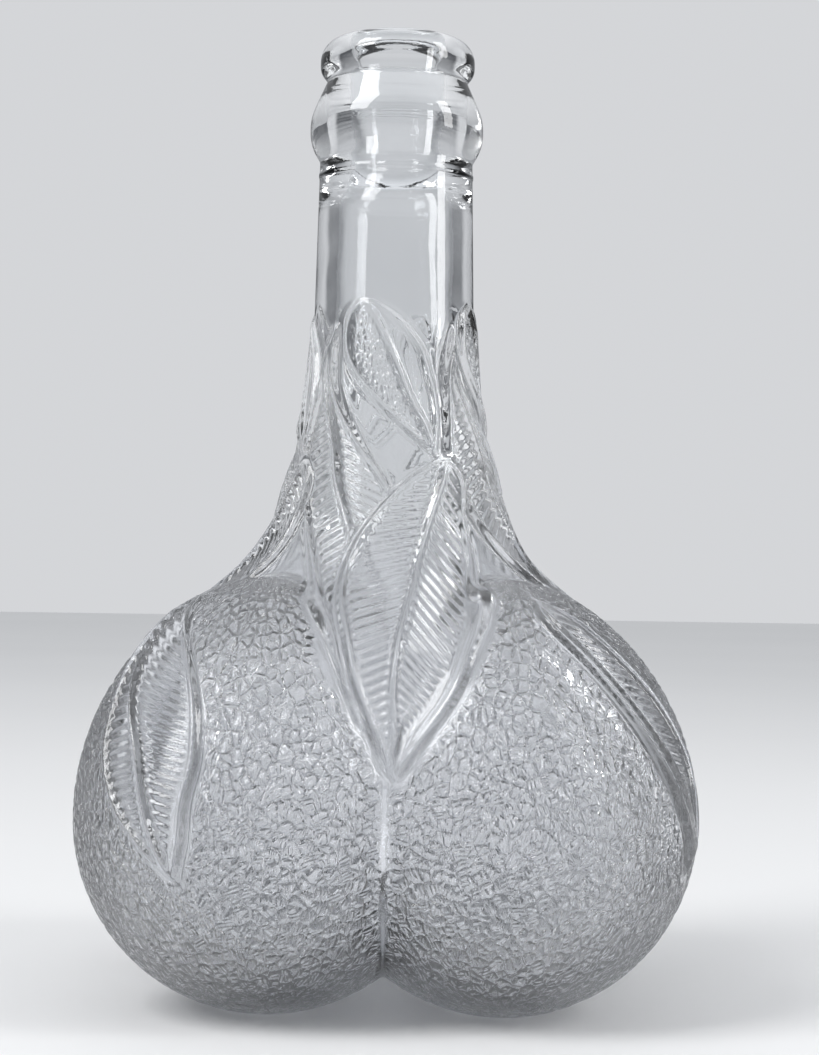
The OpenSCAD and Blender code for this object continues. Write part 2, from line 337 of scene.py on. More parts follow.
# Towards its tips a leaf's ribs sink to this share, over this length
TAPER_SHARE = 0.2
TAPER_LONG = 5
# Where things start and end: a tip's run into the glass, the veins' start at the midrib and at
# the plain band, the midrib's rise with the leaf's half width, and the valley leaf's cover
TIP = (-0.4, 1.2)
VEIN_START = (0.5, 1.4)
BAND_EDGE = (-0.5, 0.5)
MIDRIB_RISE = (0, 2)
COVER_EDGE = (-1.2, -0.6)
# The peel grain fades in over these distances from a crease, the flare, a leaf, whose distance
# is measured inwards, and a pad's edge. A pad is met only below its height, and there is no
# grain far above the fruits
PEEL_CREASE = (0.3, 1.3)
PEEL_FLARE = (1.0, 2.0)
PEEL_LEAF = (-0.9, -1.7)
PEEL_PAD = (0.5, 3)
PAD_HIGH = 3
PEEL_ABOVE = 1
# A distance from the flare that counts as clear of it
CLEAR = 5.0


def smooth_rows(rows, count=120):
    """The rows run together by a smooth curve, from the bottom up."""
    rows = np.array(rows, float)
    t = np.linspace(0, len(rows) - 1, count)
    i = np.minimum(t.astype(int), len(rows) - 2)
    f = (t - i)[:, None]
    a = rows[np.maximum(i - 1, 0)]
    b = rows[i]
    c = rows[i + 1]
    d = rows[np.minimum(i + 2, len(rows) - 1)]
    square = (2 * a - 5 * b + 4 * c - d) * f ** 2
    cube = (3 * b - a - 3 * c + d) * f ** 3
    curve = 0.5 * (2 * b + (c - a) * f + square + cube)
    return curve[::-1]


def smoothstep(low, high, x):
    """0 at low, 1 at high, with a soft start and end between them."""
    t = np.clip((x - low) / (high - low), 0, 1)
    return t * t * (3 - 2 * t)


def leaf_relief(rows, veins, side, z, right_share=1.0):
    """A leaf's height, the moat round it, how far inside its border each point lies, its veins'
    phase and cover, and which half of the leaf it is: -1 left of the midrib, 1 right of it."""
    curve = smooth_rows(rows)
    left, rib, right = (np.interp(z, curve[:, 0], curve[:, k]) for k in (1, 2, 3))
    from_rib = side - rib
    on_right = from_rib > 0
    half = np.where(on_right, right - rib, rib - left)
    inside = half - np.abs(from_rib)
    ends = np.minimum(z - curve[0, 0], curve[-1, 0] - z)
    inside = np.minimum(inside, ends)
    taper = TAPER_SHARE + (1 - TAPER_SHARE) * smoothstep(0, TAPER_LONG, ends)
    share = np.where(on_right, right_share, 1.0)
    border = (RIB - PANEL) * np.exp(-((inside - BORDER_IN) / BORDER_WIDE) ** 2) * share
    midrib = (MIDRIB - PANEL) * np.exp(-(from_rib / MIDRIB_WIDE) ** 2)
    midrib = midrib * smoothstep(*MIDRIB_RISE, half)
    # Each tip runs out into the glass, with no step across its end
    tip = smoothstep(*TIP, ends)
    height = smoothstep(-EDGE, EDGE, inside) * (PANEL + np.maximum(border, midrib) * taper) * tip
    moat = -MOAT * np.exp(-((inside + MOAT_OUT) / MOAT_WIDE) ** 2) * tip
    pitch, left_lean, right_lean, left_band, right_band = veins
    foot_top = (curve[0, 0], curve[-1, 0])

    def by_half(left_pair, right_pair):
        on_left = np.interp(z, foot_top, left_pair)
        return np.where(on_right, np.interp(z, foot_top, right_pair), on_left)

    lean = by_half(left_lean, right_lean)
    phase = (z + lean * np.abs(from_rib)) / pitch
    plain = by_half(left_band, right_band)
    panel = smoothstep(*BAND_EDGE, inside - plain) * smoothstep(*VEIN_START, np.abs(from_rib))
    return {
        "height": height, "moat": moat, "inside": inside, "phase": phase, "panel": panel,
        "half": np.where(on_right, 1, -1)}


def skin_relief(p):
    """Relief, peel cover, vein phase, vein cover and stipple cover at points of the outer skin."""
    x, y, z = p[:, 0], p[:, 1], p[:, 2]
    theta = np.degrees(np.arctan2(y, x))
    body_r = turned(BODY, np.maximum(z, VALLEY_Z))[0]
    nearest = (theta + 45) % 90 - 45

    def round_body(rows, veins, right_share=1.0):
        sides = [np.radians(nearest + turn) * body_r for turn in (-90, 0, 90)]
        return [leaf_relief(rows, veins, side, z, right_share) for side in sides]

    valley = round_body(VALLEY_LEAF, VALLEY_VEINS, VALLEY_SHARE)
    flare = round_body(FLARE_LEAF, FLARE_VEINS)
    neck = round_body(NECK_LEAF, NECK_VEINS)
    # The flare leaf runs out under the valley leaf
    covered = smoothstep(*COVER_EDGE, np.max([leaf["inside"] for leaf in valley], axis=0))
    for leaf in flare:
        for part in ("height", "moat", "panel"):
            leaf[part] = leaf[part] * (1 - covered)
    # The neck leaf has no veins: its left half is stippled, its right half plain
    stipple = np.zeros_like(z)
    for leaf in neck:
        stipple = np.maximum(stipple, leaf["panel"] * (leaf["half"] < 0))
        leaf["panel"] = np.zeros_like(z)
        leaf["height"] = leaf["height"] * NECK_SHARE
    # The draped leaf lies round its fruit's own stem line
    out = theta % 90 - 45
    r = np.hypot(x, y)
    outward = r * np.cos(np.radians(out)) - STEM_D
    across = r * np.sin(np.radians(out))
    side = np.arctan2(across, outward) * FRUIT_R
    wide = leaf_relief(FRUIT_LEAF, FRUIT_VEINS, side, z)
    narrow = leaf_relief(NARROW_LEAF, FRUIT_VEINS, side, z)
    draped = {part: np.where(x * y > 0, wide[part], narrow[part]) for part in wide}
    leaves = [*valley, *flare, *neck, draped]
    height = np.max([leaf["height"] for leaf in leaves], axis=0)
    inside = np.max([leaf["inside"] for leaf in leaves], axis=0)
    moat = np.min([leaf["moat"] for leaf in leaves], axis=0) * (inside < 0)
    phase = np.zeros_like(z)
    panel = np.zeros_like(z)
    for leaf in leaves:
        phase = np.where(leaf["panel"] > panel, leaf["phase"], phase)
        panel = np.maximum(panel, leaf["panel"])
    # Peel grain stops short of the creases, the flare, the leaves and the pads
    plane = np.minimum(np.abs(x), np.abs(y))
    from_body = np.where(z > VALLEY_Z, r - body_r, CLEAR)
    from_pad = np.hypot(np.abs(x) - STEM, np.abs(y) - STEM) - PAD_R
    peel = smoothstep(*PEEL_CREASE, plane) * smoothstep(*PEEL_FLARE, from_body)
    peel = peel * smoothstep(*PEEL_LEAF, inside)
    off_pad = np.where(z < PAD_HIGH, smoothstep(*PEEL_PAD, from_pad), 1)
    peel = peel * (z < FRUIT_TOP + PEEL_ABOVE) * off_pad
    return height + moat, peel, phase, panel, stipple


class Skin:
    """Points and faces gathered from grids of rings, joined ring to ring."""

    def __init__(self):
        self.points = []
        self.faces = []
        self.zones = []
        self.count = 0

    def add(self, points):
        """Keeps the points and gives the number of the first one."""
        first = self.count
        self.points.append(points.reshape(-1, 3))
        self.count += self.points[-1].shape[0]
        return first

    def stitch(self, upper, lower, zone):
        """Faces between two rings with the same number of points, or the one twice the other."""
        if len(upper) == 2 * len(lower):
            start, middle, after = upper[::2], upper[1::2], np.roll(upper, -2)[::2]
            none = np.full(len(lower), -1)
            following = np.roll(lower, -1)
            left = (start, lower, middle)
            right = (middle, following, after)
            for tri in (left, (middle, lower, following), right):
                self.faces.append(np.stack([*tri, none], axis=1))
                self.zones.append(np.full(len(lower), zone))
            return
        if len(upper) == len(lower):
            quads = np.stack([upper, lower, np.roll(lower, -1), np.roll(upper, -1)], axis=1)
            self.faces.append(quads)
            self.zones.append(np.full(len(quads), zone))
            return
        after = np.roll(lower, -2)[::2]
        middle = lower[1::2]
        start = lower[::2]
        following = np.roll(upper, -1)
        none = np.full(len(upper), -1)
        left = (upper, start, middle)
        right = (following, middle, after)
        for tri in (left, (upper, middle, following), right):
            self.faces.append(np.stack([*tri, none], axis=1))
            self.zones.append(np.full(len(upper), zone))

    def grid(self, points, zone):
        """Rows of points joined one to the next; gives the numbers of each ring's points."""
        rows, columns = points.shape[:2]
        first = self.add(points)
        rings = [first + k * columns + np.arange(columns) for k in range(rows)]
        for k in range(rows - 1):
            self.stitch(rings[k], rings[k + 1], zone)
        return rings

    def pole(self, ring, point, zone):
        """Closes a ring with triangles to one point."""
        tip = self.add(np.array([point]))
        n = len(ring)
        tris = np.stack([ring, np.full(n, tip), np.roll(ring, -1), np.full(n, -1)], axis=1)
        self.faces.append(tris)
        self.zones.append(np.full(n, zone))


def azimuths(columns):
    return np.arange(columns) * 360 / columns


def turned_grid(line, columns):
    """A turned line as a grid of rings, from the line's first point on."""
    t = np.radians(azimuths(columns))
    return np.stack([
        line[:, :1] * np.cos(t)[None],
        line[:, :1] * np.sin(t)[None],
        np.repeat(line[:, 1:2], columns, axis=1)], axis=-1)


def along(line, step):
    """Points a step apart along a line, its ends included."""
    run = np.concatenate([[0], np.cumsum(np.linalg.norm(np.diff(line, axis=0), axis=1))])
    at = np.linspace(0, run[-1], max(int(run[-1] / step), 1) + 1)
    return np.stack([np.interp(at, run, line[:, 0]), np.interp(at, run, line[:, 1])], axis=1)


def line_between(line, high, low):
    """The stretch of a turned line between two heights, from the top down."""
    inner = line[(line[:, 1] < high) & (line[:, 1] > low)]
    ends = [[turned(line, np.array(z))[0], z] for z in (high, low)]
    return np.vstack([ends[:1], inner, ends[1:]])


def build_skin():
    """The whole glass as one closed skin: lip, neck, flare and fruits outside, then the hollow."""
    skin = Skin()

    def outer_gap(p):
        return glass_gap(p, BODY, 0.0, SOFT_OUTER)

    def inner_gap(p):
        return glass_gap(p, INSIDE, WALL, SOFT_INNER)

    def alpha(r, z):
        return math.degrees(math.atan2(r, z - HEART_Z))

    # From the lip outwards and down the finish and the neck
    lip = np.argmax(FINISH[:, 1])
    outside = along(FINISH[lip:], ROW_FINISH)
    rings = skin.grid(turned_grid(outside, MIDDLE), "crown_finish")
    lip_ring = rings[0]
    neck = along(line_between(BODY, FINISH_Z, UPPER_Z), ROW_NECK)[1:]
    neck[:, 0] += SEAM_OUT * np.exp(-((neck[:, 1] - SEAM_Z) / SEAM_WIDE) ** 2)
    neck_rings = skin.grid(turned_grid(neck, MIDDLE), "neck")
    skin.stitch(rings[-1], neck_rings[0], "neck")

    # The flare and the fruits, by rays from the heart
    start = alpha(float(neck[-1, 0]), UPPER_Z)
    alphas = even_alphas(outer_gap, start, ROW_FINE)[1:-1]
    split_at = alpha(float(turned(BODY, np.array(LOWER_Z))[0]), LOWER_Z)
    flare_rows = ray_points(alphas[alphas < split_at], azimuths(MIDDLE), outer_gap)
    flare_rings = skin.grid(flare_rows, "shoulder")
    skin.stitch(neck_rings[-1], flare_rings[0], "shoulder")
    fruit_rows = ray_points(alphas[alphas >= split_at], azimuths(FINE), outer_gap)
    fruit_rings = skin.grid(fruit_rows, "fruit")
    skin.stitch(flare_rings[-1], fruit_rings[0], "fruit")
    foot = ray_points(np.array([180.0]), np.array([0.0]), outer_gap)[0, 0]
    skin.pole(fruit_rings[-1], foot, "fruit")
    outer_count = skin.count

    # The bore, the inside of the neck and the hollow, facing inwards
    bore = along(FINISH[:lip + 1][::-1], ROW_BORE)[1:]
    bore_rings = skin.grid(turned_grid(bore, MIDDLE), "crown_finish")
    skin.stitch(lip_ring, bore_rings[0], "crown_finish")
    throat = along(line_between(INSIDE, FINISH_Z, UPPER_Z), ROW_INNER)[1:]
    throat_rings = skin.grid(turned_grid(throat, COARSE), "neck")
    skin.stitch(bore_rings[-1], throat_rings[0], "neck")
    start = alpha(float(throat[-1, 0]), UPPER_Z)
    alphas = even_alphas(inner_gap, start, ROW_INNER)[1:-1]
    hollow_rows = ray_points(alphas, azimuths(COARSE), inner_gap)
    split_row = int((hollow_rows[:, 0, 2] > LOWER_Z - HOLLOW_DROP).sum())
    upper_rings = skin.grid(hollow_rows[:split_row], "shoulder")
    skin.stitch(throat_rings[-1], upper_rings[0], "shoulder")
    lower_rings = skin.grid(hollow_rows[split_row:], "fruit")
    skin.stitch(upper_rings[-1], lower_rings[0], "fruit")
    foot = ray_points(np.array([180.0]), np.array([0.0]), inner_gap)[0, 0]
    skin.pole(lower_rings[-1], foot, "fruit")

    points = np.concatenate(skin.points)
    faces = np.concatenate(skin.faces)
    zones = np.concatenate(skin.zones)
    # The lip and the outside run anticlockwise seen from outside; the hollow starts from the
    # same ring and runs down inside, so its faces are turned over
    hollow = (faces[:, 1] >= outer_count) | (faces[:, 0] >= outer_count)
    flip = faces[hollow]
    quads = flip[:, 3] >= 0
    turned_over = flip.copy()
    turned_over[quads] = flip[quads][:, ::-1]
    turned_over[~quads, :3] = flip[~quads][:, 2::-1]
    faces[hollow] = turned_over
    return points, faces, zones, outer_count


def mesh_from(name, points, faces):
    """A smooth mesh from points and faces; a face whose last index is -1 is a triangle."""
    mesh = bpy.data.meshes.new(name)
    sizes = np.where(faces[:, 3] < 0, 3, 4).astype(np.int32)
    starts = np.concatenate([[0], np.cumsum(sizes)[:-1]]).astype(np.int32)
    loops = faces[faces >= 0].astype(np.int32)
    mesh.vertices.add(len(points))
    mesh.vertices.foreach_set("co", points.astype(np.float32).ravel())
    mesh.loops.add(len(loops))
    mesh.loops.foreach_set("vertex_index", loops)
    mesh.polygons.add(len(faces))
    mesh.polygons.foreach_set("loop_start", starts)
    mesh.update(calc_edges=True)
    mesh.polygons.foreach_set("use_smooth", np.ones(len(faces), dtype=bool))
    mesh.validate()
    return mesh


def store(mesh, name, values):
    """One number for each point, kept on the mesh under a name."""
    layer = mesh.attributes.new(name, "FLOAT", "POINT")
    layer.data.foreach_set("value", values.astype(np.float32))


# Grooves of the peel grain: the cells between them, how much flatter than wide these are, the
# share of a cell that a groove takes, the share of its depth low on the fruits, and the heights
# between which that changes
GRAIN_CELL = 1.9
GRAIN_STRETCH = (1, 1, 0.92)
GRAIN_WIDE = 0.28
GRAIN_LOW = 0.65
UPPER_GRAIN_Z = (36, 52)
# The grooves' bends: the size of the noise that bends them, per metre, and how far it does
BEND_SCALE = 450.0
BEND = 0.8
# Nearest to its stem line that the grain is drawn out as if it were there
STEM_NEAR = 3
# Bars of the peel grain: the cell that holds a few of them, their pitch and height, the share
# of cells whose bars lie level, how far askew they lie, the turn between cells, and how much
# fainter they are on the upper part
BAR_CELL = 1.5
BAR_PITCH = 1.0
BAR_HIGH = 0.08
BAR_LEVEL = 0.42
BAR_ASKEW = 1.6
BAR_TURN = 6.0
BAR_FADE = 0.85
# Stipple of the neck leaf: its cells, and the share of a cell that a groove takes
STIPPLE_CELL = 0.9
STIPPLE_WIDE = 0.4
# Depths of the relief that the nodes cut
GRAIN_DEPTH = 0.42
VEIN_DEPTH = 0.25
STIPPLE_DEPTH = 0.45
SWIRL_DEPTH = 0.5
# Heights of what bump adds: uneven polish, turning marks in the bore, and the grain's grooves
POLISH_BUMP = 0.01
MARKS_BUMP = 0.08
GRAIN_BUMP = -0.4
# The noises' scales, per metre, and the lowest and highest share of a finish's roughness
SWIRL_SCALE = 90.0
POLISH_SCALE = 900.0
MARKS_SCALE = 1500.0
ROUGH_SPREAD = (0.6, 1.4)


class Nodes:
    """Short ways to add nodes to a tree, the same for shapes and for finishes."""

    def __init__(self, tree):
        self.nodes = tree.nodes
        self.links = tree.links

    def put(self, socket, value):
        if isinstance(value, (int, float, tuple)):
            socket.default_value = value
        else:
            self.links.new(value, socket)

    def maths(self, operation, a, b=0.0, clamp=False):
        node = self.nodes.new("ShaderNodeMath")
        node.operation = operation
        node.use_clamp = clamp
        self.put(node.inputs[0], a)
        self.put(node.inputs[1], b)
        return node.outputs[0]

    def vector(self, operation, a, b=None, scale=None):
        node = self.nodes.new("ShaderNodeVectorMath")
        node.operation = operation
        self.put(node.inputs[0], a)
        if b is not None:
            self.put(node.inputs[1], b)
        if scale is not None:
            self.put(node.inputs["Scale"], scale)
        return node.outputs[0]

    def noise(self, place, scale, detail=2.0):
        node = self.nodes.new("ShaderNodeTexNoise")
        self.put(node.inputs["Vector"], place)
        self.put(node.inputs["Scale"], scale)
        self.put(node.inputs["Detail"], detail)
        return node.outputs

    def round_stem(self, place):
        """A place drawn out from its fruit's stem line, so that the grain keeps its size seen
        from the side, and the level direction round that line."""
        side = self.vector("SIGN", place)
        out = self.vector("SUBTRACT", self.vector("ABSOLUTE", place), (STEM * MM, STEM * MM, 0))
        out = self.vector("MULTIPLY", self.vector("MULTIPLY", out, side), (1, 1, 0))
        length = self.nodes.new("ShaderNodeVectorMath")
        length.operation = "LENGTH"
        self.put(length.inputs[0], out)
        away = self.maths("MAXIMUM", length.outputs["Value"], STEM_NEAR * MM)
        share = self.maths("DIVIDE", FRUIT_R * MM, away)
        draw = self.maths("SUBTRACT", self.maths("SQRT", share), 1.0)
        drawn = self.vector("ADD", place, self.vector("SCALE", out, scale=draw))
        level = self.vector("NORMALIZE", self.vector("CROSS_PRODUCT", (0, 0, 1), out))
        return drawn, level

    def grooves(self, place, size, stretch, width):
        """1 in the grooves between cells of a size, falling to 0 a share of a cell away."""
        bend = self.noise(place, BEND_SCALE)["Color"]
        bent = self.vector(
            "ADD", self.vector("MULTIPLY", place, stretch),
            self.vector("SCALE", bend, scale=BEND * MM))
        net = self.nodes.new("ShaderNodeTexVoronoi")
        net.feature = "DISTANCE_TO_EDGE"
        self.put(net.inputs["Vector"], bent)
        self.put(net.inputs["Scale"], 1 / (size * MM))
        far = self.maths("DIVIDE", net.outputs["Distance"], width)
        near = self.maths("SUBTRACT", 1.0, far, clamp=True)
        return self.maths("MULTIPLY", near, near)

    def upper(self, place):
        """1 on the upper part of the fruits, 0 on the lower."""
        split = self.nodes.new("ShaderNodeSeparateXYZ")
        self.put(split.inputs[0], place)
        high = self.nodes.new("ShaderNodeMapRange")
        self.put(high.inputs["Value"], split.outputs["Z"])
        self.put(high.inputs["From Min"], UPPER_GRAIN_Z[0] * MM)
        self.put(high.inputs["From Max"], UPPER_GRAIN_Z[1] * MM)
        return high.outputs["Result"]

    def grain(self, place):
        """Depth of the peel grain: grooves round wide cells, fainter low on the fruits."""
        rise = self.maths("MULTIPLY", self.upper(place), 1 - GRAIN_LOW)
        share = self.maths("ADD", rise, GRAIN_LOW)
        drawn = self.round_stem(place)[0]
        net = self.grooves(drawn, GRAIN_CELL, GRAIN_STRETCH, GRAIN_WIDE)
        return self.maths("MULTIPLY", net, share)

    def bars(self, place):
        """Short raised bars, a few side by side in each cell, which stand upright in some cells
        and lie level in others."""
        drawn, level = self.round_stem(place)
        cells = self.nodes.new("ShaderNodeTexVoronoi")
        self.put(cells.inputs["Vector"], drawn)
        self.put(cells.inputs["Scale"], 1 / (BAR_CELL * MM))
        split = self.nodes.new("ShaderNodeSeparateXYZ")
        self.put(split.inputs[0], cells.outputs["Color"])
        upright = self.maths("GREATER_THAN", split.outputs["X"], BAR_LEVEL)
        lying = self.maths("SUBTRACT", 1.0, upright)
        way = self.vector(
            "ADD", self.vector("SCALE", level, scale=upright),
            self.vector("SCALE", (0, 0, 1), scale=lying))
        chance = self.vector("SUBTRACT", cells.outputs["Color"], (0.5, 0.5, 0.5))
        askew = self.vector("SCALE", chance, scale=BAR_ASKEW)
        across = self.nodes.new("ShaderNodeVectorMath")
        across.operation = "DOT_PRODUCT"
        self.put(across.inputs[0], self.vector("SUBTRACT", drawn, cells.outputs["Position"]))
        self.put(across.inputs[1], self.vector("ADD", way, askew))
        turns = self.maths("MULTIPLY", across.outputs["Value"], 2 * math.pi / (BAR_PITCH * MM))
        start = self.maths("MULTIPLY", split.outputs["Y"], BAR_TURN)
        wave = self.maths("SINE", self.maths("ADD", turns, start))
        fade = self.maths("MULTIPLY", self.upper(place), BAR_FADE)
        low = self.maths("SUBTRACT", 1.0, fade)
        return self.maths("MULTIPLY", wave, low)


def relief_tree():
    """Geometry nodes that raise the leaves, cut their veins, press the peel grain into the skin
    and leave the hollow a little uneven."""
    tree = bpy.data.node_groups.new("glass_relief", "GeometryNodeTree")
    face = tree.interface
    face.new_socket("Geometry", in_out="INPUT", socket_type="NodeSocketGeometry")
    for name in ("Grain Depth", "Vein Depth", "Stipple Depth", "Swirl Depth"):
        face.new_socket(name, in_out="INPUT", socket_type="NodeSocketFloat")
    face.new_socket("Glass", in_out="INPUT", socket_type="NodeSocketMaterial")
    face.new_socket("Geometry", in_out="OUTPUT", socket_type="NodeSocketGeometry")
    made = Nodes(tree)
    nodes = tree.nodes
    put, maths = made.put, made.maths
    given = nodes.new("NodeGroupInput")
    result = nodes.new("NodeGroupOutput")

    def named(name):
        node = nodes.new("GeometryNodeInputNamedAttribute")
        node.data_type = "FLOAT"
        node.inputs["Name"].default_value = name
        return node.outputs["Attribute"]

    place = nodes.new("GeometryNodeInputPosition").outputs[0]
    normal = nodes.new("GeometryNodeInputNormal").outputs[0]
    pressed = maths(
        "MULTIPLY", maths("MULTIPLY", made.grain(place), given.outputs["Grain Depth"]),
        maths("MULTIPLY", named("peel"), -1.0))
    wave = maths("SINE", maths("MULTIPLY", named("vein_phase"), 2 * math.pi))
    covered = maths("MULTIPLY", wave, named("vein_cover"))
    vein = maths("MULTIPLY", covered, given.outputs["Vein Depth"])
    net = made.grooves(place, STIPPLE_CELL, (1, 1, 1), STIPPLE_WIDE)
    dots = maths(
        "MULTIPLY", maths("MULTIPLY", net, named("stipple")),
        maths("MULTIPLY", given.outputs["Stipple Depth"], -1.0))
    wavy = maths(
        "MULTIPLY", maths("SUBTRACT", made.noise(place, SWIRL_SCALE, 1.0)[0], 0.5),
        maths("MULTIPLY", named("hollow"), given.outputs["Swirl Depth"]))
    height = maths(
        "ADD", maths("ADD", named("relief"), pressed),
        maths("ADD", maths("ADD", vein, dots), wavy))
    move = nodes.new("GeometryNodeSetPosition")
    put(move.inputs["Geometry"], given.outputs["Geometry"])
    put(move.inputs["Offset"], made.vector("SCALE", normal, scale=height))
    real = nodes.new("GeometryNodeRealizeInstances")
    put(real.inputs["Geometry"], move.outputs["Geometry"])
    paint = nodes.new("GeometryNodeSetMaterial")
    put(paint.inputs["Geometry"], real.outputs["Geometry"])
    put(paint.inputs["Material"], given.outputs["Glass"])
    put(result.inputs["Geometry"], paint.outputs["Geometry"])
    return tree


def glass(name, colour, roughness, peel):
    """Clear glass with a faint unevenness in its polish. On peel, bump gives the grain crisp
    edges and its bars; elsewhere it gives the bore its turning marks."""
    mat = bpy.data.materials.new(name)
    mat.use_nodes = True
    made = Nodes(mat.node_tree)
    nodes, links = made.nodes, made.links
    shader = nodes["Principled BSDF"]
    shader.inputs["Base Color"].default_value = (*colour, 1)
    shader.inputs["IOR"].default_value = 1.5
    shader.inputs["Transmission Weight"].default_value = 1.0
    place = nodes.new("ShaderNodeTexCoord").outputs["Object"]
    uneven = made.noise(place, POLISH_SCALE, 3.0)[0]
    spread = nodes.new("ShaderNodeMapRange")
    spread.inputs["To Min"].default_value = roughness * ROUGH_SPREAD[0]
    spread.inputs["To Max"].default_value = roughness * ROUGH_SPREAD[1]
    links.new(uneven, spread.inputs["Value"])
    links.new(spread.outputs["Result"], shader.inputs["Roughness"])
    bump = nodes.new("ShaderNodeBump")
    bump.inputs["Distance"].default_value = 1.0
    height = made.maths("MULTIPLY", uneven, POLISH_BUMP * MM)
    cover = nodes.new("ShaderNodeAttribute")
    cover.attribute_name = "peel" if peel else "bore"
    if peel:
        cut = made.maths(
            "ADD", made.maths("MULTIPLY", made.grain(place), GRAIN_BUMP * MM),
            made.maths("MULTIPLY", made.bars(place), BAR_HIGH * MM))
    else:
        upright = made.vector("MULTIPLY", place, (0, 0, 1))
        marks = made.noise(upright, MARKS_SCALE, 1.0)[0]
        cut = made.maths("MULTIPLY", marks, MARKS_BUMP * MM)
    height = made.maths("ADD", height, made.maths("MULTIPLY", cut, cover.outputs["Fac"]))
    links.new(height, bump.inputs["Height"])
    links.new(bump.outputs["Normal"], shader.inputs["Normal"])
    return mat


clear_glass = glass("clear_glass", colour=(0.93, 0.94, 0.95), roughness=0.02, peel=False)
peel_glass = glass("peel_glass", colour=(0.92, 0.93, 0.95), roughness=0.1, peel=True)


def relieved_skin():
    """The whole skin with its leaves, veins and grain, baked to points and normals, with the
    covers that the finishes read."""
    points, faces, zones, outer_count = build_skin()
    mesh = mesh_from("glass", points * MM, faces)
    relief, peel, phase, panel, stipple = skin_relief(points[:outer_count])
    smooth = np.zeros(len(points) - outer_count)
    above = points[:outer_count, 2] > UPPER_Z
    for values in (relief, peel, panel, stipple):
        values[above] = 0
    outside = {
        "relief": relief * MM, "peel": peel, "vein_phase": phase, "vein_cover": panel,
        "stipple": stipple}
    for label, values in outside.items():
        store(mesh, label, np.concatenate([values, smooth]))
    hollow_z = points[outer_count:, 2]
    uneven = smoothstep(FINISH_Z - 4, FINISH_Z - 14, hollow_z)
    store(mesh, "hollow", np.concatenate([np.zeros(outer_count), uneven]))
    skin = bpy.data.objects.new("glass_skin", mesh)
    bpy.context.scene.collection.objects.link(skin)
    tree = relief_tree()
    modifier = skin.modifiers.new("relief", "NODES")
    modifier.node_group = tree
    given = {
        "Grain Depth": GRAIN_DEPTH * MM, "Vein Depth": VEIN_DEPTH * MM,
        "Stipple Depth": STIPPLE_DEPTH * MM, "Swirl Depth": SWIRL_DEPTH * MM,
        "Glass": clear_glass}
    for item in tree.interface.items_tree:
        if item.item_type == "SOCKET" and item.name in given:
            modifier[item.identifier] = given[item.name]
    bpy.context.view_layer.update()
    depsgraph = bpy.context.evaluated_depsgraph_get()
    baked = bpy.data.meshes.new_from_object(skin.evaluated_get(depsgraph))
    bore_cover = smoothstep(FINISH_Z + 3, FINISH_Z + 6, hollow_z)
    bore_cover = bore_cover * smoothstep(HEIGHT - 3, HEIGHT - 6, hollow_z)
    covers = {
        "peel": np.concatenate([peel, smooth]),
        "bore": np.concatenate([np.zeros(outer_count), bore_cover])}
    moved = np.empty(len(points) * 3, dtype=np.float32)
    baked.vertices.foreach_get("co", moved)
    normals = np.empty(len(points) * 3, dtype=np.float32)
    baked.vertex_normals.foreach_get("vector", normals)
    bpy.data.objects.remove(skin)
    bpy.data.meshes.remove(baked)
    bpy.data.meshes.remove(mesh)
    return moved.reshape(-1, 3), faces, zones, normals.reshape(-1, 3), covers


def part_of_skin(name, chosen, material, skin):
    """One piece of the skin, whose shading runs on smoothly into its neighbours."""
    points, faces, _, normals, covers = skin
    own = faces[chosen]
    used = np.unique(own[own >= 0])
    renumber = np.full(len(points) + 1, -1)
    renumber[used] = np.arange(len(used))
    mesh = mesh_from(name, points[used], renumber[own])
    mesh.normals_split_custom_set_from_vertices(normals[used].tolist())
    for label, cover in covers.items():
        store(mesh, label, cover[used])
    mesh.materials.append(material)
    piece = bpy.data.objects.new(name, mesh)
    bpy.context.scene.collection.objects.link(piece)
    return piece


def build_glass():
    """The skin's seven pieces, each under the name of the solid that it replaces."""
    skin = relieved_skin()
    points, faces, zones = skin[:3]
    middle = points[faces[:, :3]].mean(axis=1)
    pieces = {}
    for zone in ("crown_finish", "neck", "shoulder"):
        pieces[zone] = part_of_skin(zone + "_glass", zones == zone, clear_glass, skin)
    quarters = {
        "front_left": (-1, -1), "front_right": (1, -1),
        "back_right": (1, 1), "back_left": (-1, 1)}
    for side, (x, y) in quarters.items():
        chosen = (zones == "fruit") & (middle[:, 0] * x > 0) & (middle[:, 1] * y > 0)
        name = "fruit_" + side
        pieces[name] = part_of_skin(name + "_glass", chosen, peel_glass, skin)
    return pieces


pieces = build_glass()
for name, piece in pieces.items():
    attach(piece, "root")
    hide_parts(name)
leaf_sides = ("front", "right", "back", "left")
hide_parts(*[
    f"{kind}_leaf_{side}" for kind in ("valley", "neck", "flare") for side in leaf_sides])
for side in ("front_left", "front_right", "back_right", "back_left"):
    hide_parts("heel_" + side, "fruit_leaf_" + side)

# Stage: half the floor's width and its gap under the bottle in metres, and the scale and the
# darkest and palest of its faint clouds
FLOOR_HALF = 3.0
FLOOR_GAP = 0.0002
CLOUD_SCALE = 3.0
FLOOR_TONES = (0.74, 0.78)
# The room: its colours low and high up, how high the second one is reached, the pale colour
# behind the bottle, and how straight ahead a ray through the glass has to go to meet it
ROOM_LOW = (0.1, 0.105, 0.115, 1)
ROOM_HIGH = (0.9, 0.92, 0.95, 1)
ROOM_TOP = 0.9
BEHIND = (0.66, 0.67, 0.69, 1)
AHEAD = (0.8, 0.96)


